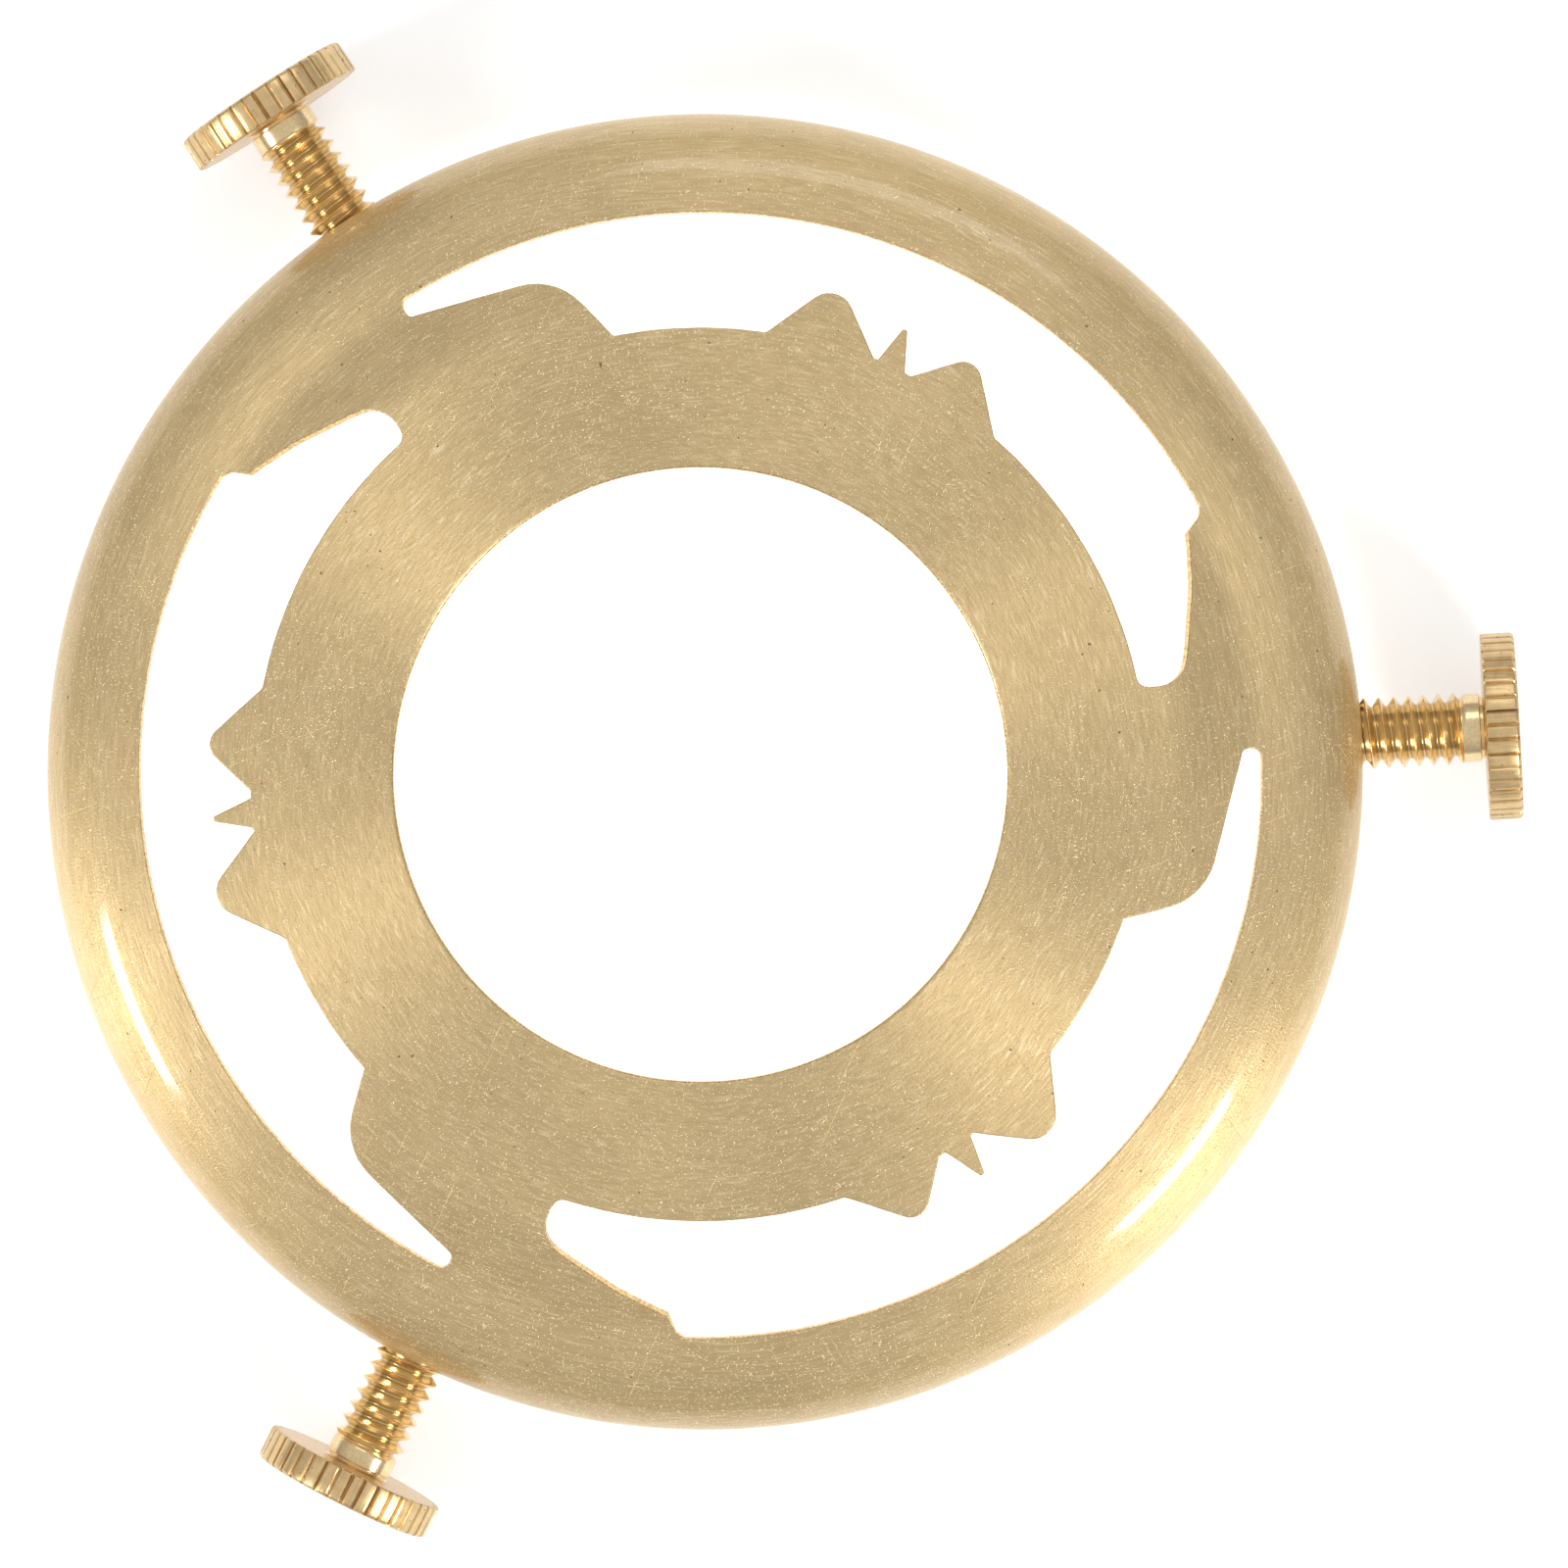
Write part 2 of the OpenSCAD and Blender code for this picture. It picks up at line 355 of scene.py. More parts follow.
def spread_for_slope(cut):
    """On the slope the bottom of a cut stands nearer the lamp than its top, so an edge that
    faces inwards is moved out by as much, and the opening seen from above keeps its size."""
    rho = np.linalg.norm(cut, axis=1)[:, None]
    facing_in = np.maximum(-(off_metal(cut) * cut / rho).sum(1), 0)
    blur = range(-3, 4)
    facing_in = sum(np.roll(facing_in, step) for step in blur) / len(blur)
    sideways_of_normal = np.linalg.norm(formed(cut)[1][:, :2], axis=1)[:, None]
    return cut * (1 + sheet_t * sideways_of_normal * facing_in[:, None] / rho)


SHARE_OF_TURN = 2 * math.pi / SCREWS
edges = [{"steps": HOLE_EDGE, "cut": circle(hole_r, HOLE_POINTS, 1)},
         {"steps": SKIRT_EDGE, "cut": circle(blank_r, SKIRT_POINTS, -1)}]
for number in range(SCREWS):
    cut = wavered(divided(outline, EDGE_STEP), WAVER_DEPTH, number)
    edges.append({"steps": CUT_EDGE, "cut": turned_by(cut, number * SHARE_OF_TURN)})
for edge in edges:
    if edge["steps"] is CUT_EDGE:
        edge["cut"] = spread_for_slope(edge["cut"])
    edge["away"] = off_metal(edge["cut"])
    edge["line"] = edge["cut"] - edge["away"] * edge["steps"][0][0]
taps = []
for number in range(SCREWS):
    flat, ring = on_skirt(TAP_FLANGE_R)
    line = turned_by(flat, number * SHARE_OF_TURN)
    taps.append({"line": line, "ring": ring, "angle": number * SHARE_OF_TURN})
outlines = [edge["line"] for edge in edges] + [tap["line"] for tap in taps]
print("outlines:", [len(line) for line in outlines])

# %% Rings and spokes between the outlines
SPOKES = 360
CLEARANCE = 0.22
rows = np.concatenate([np.linspace(hole_r + HOLE_EDGE[0][0], top_start - 0.6, 9),
                       np.linspace(top_start, foot_end, 19),
                       np.linspace(foot_end + 0.5, shoulder_start, 4),
                       np.linspace(shoulder_start, skirt_start, 17)[1:],
                       np.linspace(skirt_start, blank_r - 0.2, 13)[1:]])


def inside(points, loop):
    """Which points are inside a closed outline."""
    found = np.zeros(len(points), bool)
    for (x0, y0), (x1, y1) in zip(loop, np.roll(loop, -1, axis=0)):
        if y0 != y1:
            crosses = (points[:, 1] < y0) != (points[:, 1] < y1)
            x = x0 + (points[:, 1] - y0) * (x1 - x0) / (y1 - y0)
            found ^= crosses & (points[:, 0] < x)
    return found


def near(points, loop, distance):
    """Which points are nearer to an outline than that distance."""
    found = np.zeros(len(points), bool)
    for start, end in zip(loop, np.roll(loop, -1, axis=0)):
        run = end - start
        share = np.clip(((points - start) @ run) / (run @ run), 0, 1)
        found |= np.hypot(*(points - start - share[:, None] * run).T) < distance
    return found


grid = np.concatenate([circle(r, SPOKES, 1) for r in rows])
keep = inside(grid, outlines[1]) & ~inside(grid, outlines[0])
for line in outlines:
    keep &= ~near(grid, line, CLEARANCE)
for line in outlines[2:]:
    keep &= ~inside(grid, line)
grid = grid[keep]
flat_points = np.concatenate([*outlines, grid])
bounds_of_loops = np.cumsum([0] + [len(line) for line in outlines])
loop_edges = []
for start, end in zip(bounds_of_loops[:-1], bounds_of_loops[1:]):
    loop_edges += [(i, i + 1 if i + 1 < end else start) for i in range(start, end)]
made = delaunay_2d_cdt([Vector(p) for p in flat_points.tolist()], loop_edges, [], 0, 1e-7, True)
flat = np.array([tuple(v) for v in made[0]])
triangles = np.array(made[2])
place_of = {old: new for new, olds in enumerate(made[3]) for old in olds}
middles = flat[triangles].mean(1)
keep = inside(middles, outlines[1]) & ~inside(middles, outlines[0])
for line in outlines[2:]:
    keep &= ~inside(middles, line)
triangles = triangles[keep]
print("blank:", len(flat), "points,", len(triangles), "triangles")

# %% [markdown]
# ## One mesh for the whole pressing
#
# Outer skin, inner skin and edges go into one mesh, because on the real object they are one
# piece of metal. Each face takes one of three finishes: brushed outside, dull inside, and bright
# where the punch has cut. The normals come from the forming tool and not from the triangles, so
# a highlight slides over the bends without a ripple.

# %% Collect skins and edges
OUTSIDE, INSIDE, CUT = 0, 1, 2
CUT_STARTS_AT = 50


class Shell:
    """Points, normals and faces that are gathered bit by bit."""

    def __init__(self):
        self.points, self.normals, self.faces, self.finishes = [], [], [], []
        self.count = 0

    def add(self, points, normals):
        """Adds points and returns their numbers."""
        self.points.append(points)
        self.normals.append(normals)
        numbers = np.arange(self.count, self.count + len(points))
        self.count += len(points)
        return numbers

    def face(self, faces, finish):
        self.faces += faces.tolist()
        self.finishes += [finish] * len(faces)

    def band(self, upper, lower, finish):
        """A closed band of four-sided faces between two rings of the same count."""
        quads = [upper, np.roll(upper, -1), np.roll(lower, -1), lower]
        self.face(np.column_stack(quads), finish)


shell = Shell()
place, normal, along = formed(flat)
outer = shell.add(place, normal)
inner = shell.add(place - normal * sheet_t, -normal)
shell.face(outer[triangles], OUTSIDE)
shell.face(inner[triangles[:, ::-1]], INSIDE)

rings = [np.array([place_of[i] for i in range(start, end)])
         for start, end in zip(bounds_of_loops[:-1], bounds_of_loops[1:])]
for edge, ring in zip(edges, rings):
    upper = outer[ring]
    for inset, depth, tilt in edge["steps"][1:-1]:
        lower = shell.add(*edge_place(edge["cut"], edge["away"], inset, depth, tilt))
        shell.band(upper, lower, CUT if tilt > CUT_STARTS_AT else OUTSIDE)
        upper = lower
    shell.band(upper, inner[ring], CUT)
print("skins and edges:", shell.count, "points")

# %% [markdown]
# ## The tapped collars
#
# The sheet alone is thinner than one turn of thread, so the metal round each screw hole is drawn
# inwards into a short collar before it is tapped. Rings of points run from the skirt into the
# hole, through it, and back along the outside of the collar to the inner skin.

# %% Draw the three collars
COLLAR_DEPTH = 0.9
collar_r = 3.17
collar_end = rim_r - sheet_t - COLLAR_DEPTH
bore_r = 2.42
TURNED_IN = 30
TURNED_BACK = 200


def collar_step(ring, radius, depth_in, tilt, base):
    """One ring round a screw hole. base is the skin's radius, or None for a flat ring."""
    way = ring / np.linalg.norm(ring, axis=1)[:, None]
    side = way * radius
    x = np.sqrt(base**2 - side[:, 0] ** 2) - depth_in if base else np.full(len(ring), depth_in)
    c, s = math.cos(math.radians(tilt)), math.sin(math.radians(tilt))
    place = np.column_stack([x, side[:, 0], screw_z + side[:, 1]])
    normal = np.column_stack([np.full(len(ring), c), -way[:, 0] * s, -way[:, 1] * s])
    return place, normal


COLLAR = [(2.85, 0.0, 4, "skin"), (2.62, 0.03, 25, "skin"), (2.5, 0.1, 50, "skin"),
          (bore_r, 0.22, 85, "skin"), (bore_r, collar_end + 0.12, 90, None),
          (bore_r + 0.08, collar_end, 160, None), (collar_r - 0.12, collar_end, 185, None),
          (collar_r, collar_end + 0.12, 265, None), (collar_r, 0.3, 270, "inner"),
          (collar_r + 0.1, 0.08, 225, "inner")]
for tap, ring in zip(taps, rings[len(edges):]):
    upper = outer[ring]
    for radius, depth, tilt, base in COLLAR:
        side = {"skin": rim_r, "inner": rim_r - sheet_t, None: None}[base]
        points, normals = collar_step(tap["ring"], radius, depth, tilt, side)
        points[:, :2] = turned_by(points[:, :2], tap["angle"])
        normals[:, :2] = turned_by(normals[:, :2], tap["angle"])
        lower = shell.add(points, normals)
        cut = TURNED_IN < tilt < TURNED_BACK
        shell.band(upper, lower, CUT if cut else OUTSIDE if base == "skin" else INSIDE)
        upper = lower
    shell.band(upper, inner[ring], INSIDE)

# %% [markdown]
# ## From numbers to a Blender mesh
#
# `from_pydata` takes plain lists of points and faces. Points that nothing uses are left out
# first, because a stray point would still count towards the object's size.

# %% Make a mesh piece
def mesh_piece(name, points, faces, finishes=None, normals=None):
    used, faces_of_used = np.unique(np.concatenate([np.ravel(f) for f in faces]), return_inverse=True)
    sizes = [len(face) for face in faces]
    cuts = np.cumsum(sizes)[:-1]
    mesh = bpy.data.meshes.new(name)
    mesh.from_pydata((points[used] * MM).tolist(), [],
                     [face.tolist() for face in np.split(faces_of_used, cuts)])
    mesh.polygons.foreach_set("use_smooth", [True] * len(faces))
    if finishes is not None:
        mesh.polygons.foreach_set("material_index", finishes)
    if normals is not None:
        lengths = np.linalg.norm(normals, axis=1)[:, None]
        mesh.normals_split_custom_set_from_vertices((normals / lengths)[used].tolist())
    mesh.validate()
    mesh.update()
    piece = bpy.data.objects.new(name, mesh)
    bpy.context.scene.collection.objects.link(piece)
    print(name, len(mesh.vertices), "points", len(mesh.polygons), "faces")
    return piece


pressing = mesh_piece("gallery_pressing", np.concatenate(shell.points), shell.faces,
                      shell.finishes, np.concatenate(shell.normals))
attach(pressing, "gallery")
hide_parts("gallery_body")

# %% [markdown]
# ## Thumbscrews
#
# Each screw is turned from one rod: a threaded shank, a plain neck with a small undercut, and a
# round head whose edge is cut with straight ribs. A Screw modifier could wind the thread, but its
# ends would then have to be hidden. Here the shank is a sheet of points wound along the helix,
# so crest and root each lie on one clean line, and squeezing the sheet's height against the two
# ends of the thread runs it out as a turning tool does. The thread is right-handed.

# %% Sizes of the thumbscrew
SHANK_COLUMNS = 80
PITCH = 25.4 / 26
THREAD_DEPTH = 0.6
NECK_R = 2.25
NECK_LENGTH = 1.1
HEAD_THICKNESS = 2.2
THREAD_SECTION = [(0.0, 0.0), (0.035, 0.012), (0.08, 0.07), (0.16, 0.19), (0.26, 0.34), (0.36, 0.49),
                  (0.42, 0.565), (0.47, 0.598), (0.53, 0.598), (0.58, 0.565), (0.64, 0.49),
                  (0.74, 0.34), (0.84, 0.19), (0.92, 0.07), (0.965, 0.012)]
LEAD_IN = 0.9
RUNOUT_FROM = 0.75
RUNOUT_LENGTH = 0.6
screw_r = 2.38
head_r = (screw_high.z - screw_low.z) / 2
thread_start = screw_low.x
head_back = screw_high.x
head_face = head_back - HEAD_THICKNESS
thread_end = head_face - NECK_LENGTH
print("thread from", round(thread_start, 2), "to", round(thread_end, 2), "mm from the lamp's axis")


def smooth_step(value):
    share = np.clip(value, 0, 1)
    return share * share * (3 - 2 * share)


def lathe_ring(radius, height, columns=SHANK_COLUMNS):
    angles = 2 * math.pi * np.arange(columns) / columns
    return np.column_stack([radius * np.cos(angles), radius * np.sin(angles),
                            np.broadcast_to(height, columns)])


class Turning:
    """Gathers the rings of a turned piece, from its far end outwards."""

    def __init__(self):
        self.points, self.faces, self.finishes, self.count = [], [], [], 0

    def ring(self, points):
        numbers = np.arange(self.count, self.count + len(points))
        self.points.append(points)
        self.count += len(points)
        return numbers

    def join(self, lower, upper, finish=0):
        """Faces between two rings. The upper one may have several points to the lower's one."""
        parts = len(upper) // len(lower)
        for i, here in enumerate(lower):
            after = lower[(i + 1) % len(lower)]
            many = [upper[(i * parts + k) % len(upper)] for k in range(parts, -1, -1)]
            self.faces.append([here, after, *many])
            self.finishes.append(finish)

    def thread(self, start, end, phase):
        """The wound sheet of the thread. Its first and last rows are squeezed flat on the ends."""
        first = -1
        last = math.ceil((end - start) / PITCH) + 1
        shares, depths = np.array(THREAD_SECTION).T
        turns_of_rows = np.concatenate([turn + shares for turn in range(first, last)])
        depth_of_rows = np.tile(depths, last - first)
        column = np.arange(SHANK_COLUMNS) / SHANK_COLUMNS
        height = start + PITCH * (turns_of_rows[:, None] + column[None, :] + phase - 1)
        height = np.clip(height, start, end)
        radius = screw_r - depth_of_rows[:, None] + 0 * height
        radius = np.minimum(radius, screw_r - THREAD_DEPTH + LEAD_IN * (height - start))
        runout = smooth_step((height - end + RUNOUT_FROM) / RUNOUT_LENGTH)
        radius = radius + (NECK_R - radius) * runout
        angle = 2 * math.pi * column[None, :]
        sheet = np.stack([radius * np.cos(angle), radius * np.sin(angle), height], axis=2)
        numbers = self.ring(sheet.reshape(-1, 3)).reshape(sheet.shape[:2])
        step = len(shares)
        for row in range(len(numbers) - 1):
            for i in range(SHANK_COLUMNS):
                after, turn_on = (i + 1, 0) if i + 1 < SHANK_COLUMNS else (0, step)
                if row + 1 + turn_on < len(numbers):
                    self.faces.append([numbers[row, i], numbers[row + turn_on, after],
                                       numbers[row + 1 + turn_on, after], numbers[row + 1, i]])
                    self.finishes.append(0)

    def piece(self, name, sharp_angle):
        """Welds points that coincide, drops faces with no area, and makes the mesh."""
        points = np.concatenate(self.points)
        _, first, weld = np.unique(np.round(points, 4), axis=0, return_index=True, return_inverse=True)
        weld = weld.ravel()
        faces, finishes = [], []
        for face, finish in zip(self.faces, self.finishes):
            welded = list(dict.fromkeys(weld[face].tolist()))
            if len(welded) > 2:
                faces.append(welded)
                finishes.append(finish)
        made_piece = mesh_piece(name, points[first], faces, finishes)
        made_piece.data.set_sharp_from_angle(angle=math.radians(sharp_angle))
        return made_piece


# %% [markdown]
# The ribs are never quite even on a cheap screw: a few grooves are deeper, some ribs wider. A
# seeded random generator gives each groove its own depth and place, the same on each run.

# %% The ribbed head
RIBS = 40
RIB_COLUMNS = 8
GROOVE_DEPTH = 0.27
GROOVE_FROM = 0.6
GROOVE_TO = 0.95
RIB_SECTION = [(0.02, 0.0), (0.24, 0.0), (0.46, 0.0), (0.655, 0.0), (0.70, 0.06),
               (0.81, 0.95), (0.86, 0.95), (0.975, 0.06)]


def rib_shape(seed):
    """Angle and depth of each point round the head's edge."""
    chance = np.random.default_rng(seed)
    angles, depths = [], []
    for rib in range(RIBS):
        cut = GROOVE_DEPTH * chance.uniform(0.5, 1.1)
        drift = chance.uniform(-0.09, 0.09)
        flat_loss = chance.uniform(0, 0.03)
        for share, depth in RIB_SECTION:
            in_groove = GROOVE_FROM < share < GROOVE_TO
            angles.append(2 * math.pi * (rib + share + (drift if in_groove else drift / 2)) / RIBS)
            depths.append(cut * depth + flat_loss)
    return np.array(angles), np.array(depths)


def head_ring(shape, radius, height, groove=1.0):
    angles, depths = shape
    r = radius - depths * groove
    return np.column_stack([r * np.cos(angles), r * np.sin(angles), np.full(len(angles), height)])


UNDERCUT = [(2.05, -0.28), (2.05, -0.1), (2.12, -0.02), (2.3, 0)]
FRONT_FACE = [(2.7, 0), (4.2, 0.02), (head_r - 0.5, 0)]
RIBBED_EDGE = [(0.09, 0, 1), (0.02, 0.05, 1), (0, 0.14, 1), (0, 0.7, 1), (0, 1.3, 1), (0, 1.94, 1),
               (0.05, 2.06, 1), (0.19, 2.17, 0.6), (0.3, 2.2, 0.35)]
BACK_FACE = [(head_r - 0.75, 0), (2.0, -0.03), (0.5, -0.035)]


def turned_head(turning, neck, seed):
    """Adds the head to a turned piece, from the last ring of its neck outwards."""
    shape = rib_shape(seed)
    wide = RIBS * RIB_COLUMNS
    rings = [(lathe_ring(r, head_face + height), 0) for r, height in UNDERCUT]
    rings += [(lathe_ring(r, head_face + height, wide), 1) for r, height in FRONT_FACE]
    rings += [(head_ring(shape, head_r - inset, head_face + height, groove), 1)
              for inset, height, groove in RIBBED_EDGE]
    rings += [(lathe_ring(r, head_back + height, wide), 1) for r, height in BACK_FACE]
    lower = neck
    for ring, finish in rings:
        upper = turning.ring(ring)
        turning.join(lower, upper, finish)
        lower = upper
    turning.faces.append(lower.tolist())
    turning.finishes.append(1)


# %% [markdown]
# The last 0.8 mm of each screw is its plain point. It is a piece of its own here, because it
# slides in and out with its own body while the rest of the screw also turns on it.

# %% Make three screws and their points
POINT_SECTION = [(0.05, 0.03), (0.45, 0.03), (0.5, 0.0), (1.02, 0.0), (1.13, 0.03), (1.2, 0.12)]
CORE_R = 0.6
UNDERCUT_FROM = 0.36
THREAD_PHASE = 0.37
SHARP_ANGLE = 38
SEAM = 0.01
screws, points_of_screws = [], []
for number, joint in enumerate(turns, start=1):
    outwards = -Vector(joint["axis"]).normalized()
    upright = Vector((0, 0, 1))
    sideways = upright.cross(outwards)
    frame_of_screw = Matrix((sideways, outwards.cross(sideways), outwards)).transposed()
    stand = Matrix.Translation((0, 0, screw_z * MM)) @ frame_of_screw.to_4x4()

    turning = Turning()
    floor_ring = turning.ring(lathe_ring(CORE_R, thread_start))
    turning.faces.append(floor_ring[::-1].tolist())
    turning.finishes.append(0)
    first_ring = turning.ring(lathe_ring(screw_r - THREAD_DEPTH, thread_start))
    turning.join(floor_ring, first_ring)
    turning.thread(thread_start, thread_end, number * THREAD_PHASE)
    neck = turning.ring(lathe_ring(NECK_R, thread_end))
    upper = turning.ring(lathe_ring(NECK_R, head_face - UNDERCUT_FROM))
    turning.join(neck, upper)
    turned_head(turning, upper, seed=number)
    screw = turning.piece(f"brass_thumbscrew_{number}", SHARP_ANGLE)
    screw.matrix_world = stand
    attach(screw, joint["child"])
    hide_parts(f"thumbscrew_{number}")
    screws.append(screw)

    tip = Turning()
    radius, height = POINT_SECTION[0]
    lower = tip.ring(lathe_ring(radius, point_low.x + height))
    tip.faces.append(lower[::-1].tolist())
    tip.finishes.append(0)
    for radius, height in POINT_SECTION[1:]:
        upper = tip.ring(lathe_ring(radius, point_low.x + height))
        tip.join(lower, upper)
        lower = upper
    for radius in (screw_r - THREAD_DEPTH, CORE_R):
        upper = tip.ring(lathe_ring(radius, point_high.x - SEAM))
        tip.join(lower, upper)
        lower = upper
    tip.faces.append(lower.tolist())
    tip.finishes.append(0)
    point = tip.piece(f"brass_screw_point_{number}", SHARP_ANGLE)
    point.matrix_world = stand
    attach(point, joint["parent"])
    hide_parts(f"screw_point_{number}")
    points_of_screws.append(point)

# %% [markdown]
# ## Shader maths in Python
#
# Finishes are sums of many small effects, and a screen full of Math nodes is hard to read. This
# small class wraps a socket, so that `1 - scratches * 0.4` adds the Math nodes by itself.
# Colours go through Mix nodes, since a Math node would turn them grey.

# %% A socket that can be added, multiplied and compared
class Value:
    """A number that changes over a surface."""

    def __init__(self, finish, socket):
        self.finish, self.socket = finish, socket

    def __add__(self, other):
        return self.finish.maths("ADD", self, other)

    def __sub__(self, other):
        return self.finish.maths("SUBTRACT", self, other)

    def __rsub__(self, other):
        return self.finish.maths("SUBTRACT", other, self)

    def __mul__(self, other):
        return self.finish.maths("MULTIPLY", self, other)

    def __truediv__(self, other):
        return self.finish.maths("DIVIDE", self, other)

    __radd__ = __add__
    __rmul__ = __mul__


# %% A material that is built node by node
class Finish:
    """A material that is built node by node. node() makes any node, and the rest are short
    names for the few that these finishes use again and again."""

    def __init__(self, name, tree=None):
        if tree is None:
            self.material = bpy.data.materials.new(name)
            self.material.use_nodes = True
            tree = self.material.node_tree
        self.tree = tree
        self.tree.nodes.clear()

    def node(self, kind, settings, sockets):
        """Adds a node: first its settings, then the values or links of its sockets."""
        made_node = self.tree.nodes.new(kind)
        for name, value in settings.items():
            setattr(made_node, name, value)
        for name, value in sockets.items():
            if isinstance(value, Value):
                self.tree.links.new(value.socket, made_node.inputs[name])
            else:
                made_node.inputs[name].default_value = value
        return made_node

    def out(self, made_node, name=0):
        return Value(self, made_node.outputs[name])

    def maths(self, operation, *values):
        sockets = dict(enumerate(values))
        return self.out(self.node("ShaderNodeMath", {"operation": operation}, sockets))

    def clamped(self, value, low, high):
        """0 below low, 1 above high and a smooth rise between them."""
        settings = {"interpolation_type": "SMOOTHSTEP"}
        return self.out(self.node("ShaderNodeMapRange", settings,
                                  {"Value": value, "From Min": low, "From Max": high}))

    def mixed(self, share, first, second):
        """A colour between two others."""
        settings = {"data_type": "RGBA"}
        return self.out(self.node("ShaderNodeMix", settings, {0: share, 6: first, 7: second}), 2)

    def place(self):
        """x, y and z on the piece, in millimetres."""
        coordinates = self.out(self.node("ShaderNodeTexCoord", {}, {}), "Object")
        apart = self.node("ShaderNodeSeparateXYZ", {}, {"Vector": coordinates})
        return [self.out(apart, axis) * 1000 for axis in "XYZ"]

    def vector(self, x, y, z):
        return self.out(self.node("ShaderNodeCombineXYZ", {}, {"X": x, "Y": y, "Z": z}))

    def noise(self, vector, fourth, detail):
        """Noise from 0 to 1, in four dimensions, so that it can wrap round a ring unseen."""
        sockets = {"Vector": vector, "W": fourth, "Scale": 1.0, "Detail": detail}
        return self.out(self.node("ShaderNodeTexNoise", {"noise_dimensions": "4D"}, sockets), "Fac")

    def cloud(self, place, size, seed, detail):
        """Noise of one size in every direction. Another seed gives another pattern."""
        return self.noise(self.vector(*[axis / size for axis in place]), seed, detail)

    def relief(self, height, depth_mm):
        """A normal from a height of 0 to 1 that stands for depth_mm on the real surface."""
        sockets = {"Height": height, "Distance": depth_mm * MM, "Strength": 1.0}
        return self.out(self.node("ShaderNodeBump", {}, sockets))

    def metal(self, **sockets):
        named = {name.replace("_", " "): value for name, value in sockets.items()}
        shader = self.node("ShaderNodeBsdfPrincipled", {}, named)
        self.node("ShaderNodeOutputMaterial", {}, {"Surface": self.out(shader)})
        return self.material

# %% [markdown]
# ## Satin brushed brass
#
# The pressing was spun against a fine brush and then lacquered. Up close that is thousands of
# short lines that mostly follow the ring and cross each other at small angles, with tiny raised
# specks where the brush has dug in. The specks and the brightest spots of the lines are also
# lightened in the colour, as painted glints. From afar the lines can't be seen one by one, but they
# stretch every highlight across themselves, and anisotropy stands for that. The lacquer is a
# thin clear coat, which puts a whiter gleam on top of the golden one.

# %% Brushed outside
RING_RADIUS = 30
LINE_LENGTH = 1.4
LINE_WIDTH = 0.15
SWINGS = 9
SWING_DEPTH = 0.7
BRASS_LIGHT = (0.84, 0.63, 0.32, 1)
BRASS_DEEP = (0.69, 0.505, 0.24, 1)
# The pale gold of the painted glints.
PAINTED_GLINT_COLOUR = (1.0, 0.86, 0.56, 1)
PIT_BROWN = (0.30, 0.20, 0.10, 1)


def straight_scratches(finish, x, y, angle, length, width, low, high):
    """Thin straight scratches that all run at one angle. The higher low is, the fewer there are."""
    c, s = math.cos(math.radians(angle)), math.sin(math.radians(angle))
    lengthwise = (x * c + y * s) / length
    across = (y * c - x * s) / width
    return finish.clamped(finish.noise(finish.vector(lengthwise, across, angle), 0.5, 0), low, high)


def satin_brushed_brass():
    finish = Finish("satin_brushed_brass")
    x, y, z = finish.place()
    r = finish.maths("SQRT", x * x + y * y)
    c, s = x / r, y / r
    across = r - z
    turn = RING_RADIUS / LINE_LENGTH
    swing = finish.maths("SINE", finish.maths("ARCTAN2", y, x) * SWINGS) * SWING_DEPTH
    lines = finish.noise(finish.vector(c * turn, s * turn, 0), across / LINE_WIDTH, 2)
    crossing = finish.noise(finish.vector(c * turn, s * turn, 7), (across + swing) / LINE_WIDTH, 1)
    against = (across - swing) / LINE_WIDTH
    other_way = finish.noise(finish.vector(c * turn, s * turn, 13), against, 1)
    grain = finish.cloud((x, y, z), 0.16, 0, 1)
    specks = finish.clamped(finish.cloud((x, y, z), 0.14, 3, 0), 0.64, 0.74)
    patches = finish.cloud((x, y, z), 9, 0, 3)
    worn = finish.cloud((x, y, z), 2.2, 5, 2)
    pits = finish.clamped(finish.cloud((x, y, z), 0.3, 9, 0), 0.82, 0.85)
    scratches = straight_scratches(finish, x, y, 62, 9, 0.11, 0.77, 0.85)
    for angle, length in ((118, 6), (17, 7)):
        scratches = finish.maths("MAXIMUM", scratches,
                                 straight_scratches(finish, x, y, angle, length, 0.11, 0.78, 0.86))
    brushing = lines * 0.45 + crossing * 0.3 + other_way * 0.25
    height = brushing + grain * 0.25 + specks * 0.35 - scratches * 0.18 - pits * 0.5
    tone = finish.clamped(patches * 0.2 + worn * 0.1 + brushing * 0.7, 0.40, 0.60)
    # Painted glints: where the brush lines overlap most, and on the specks, the colour is lightened
    # towards pale gold, standing in for sparkle.
    painted_glints = finish.clamped(crossing * 0.5 + lines * 0.5, 0.56, 0.68)
    bright = finish.mixed(finish.maths("MAXIMUM", painted_glints, specks) * 0.55,
                          finish.mixed(tone, BRASS_DEEP, BRASS_LIGHT), PAINTED_GLINT_COLOUR)
    colour = finish.mixed(pits, bright, PIT_BROWN)
    roughness = 0.44 + grain * 0.08 + worn * 0.08 - specks * 0.14 - scratches * 0.06
    return finish.metal(Base_Color=colour, Metallic=1.0, Roughness=roughness,
                        Normal=finish.relief(height, 0.055),
                        Anisotropic=0.85, Anisotropic_Rotation=0.25, Coat_Weight=0.7,
                        Coat_Roughness=0.1, Coat_IOR=1.7)
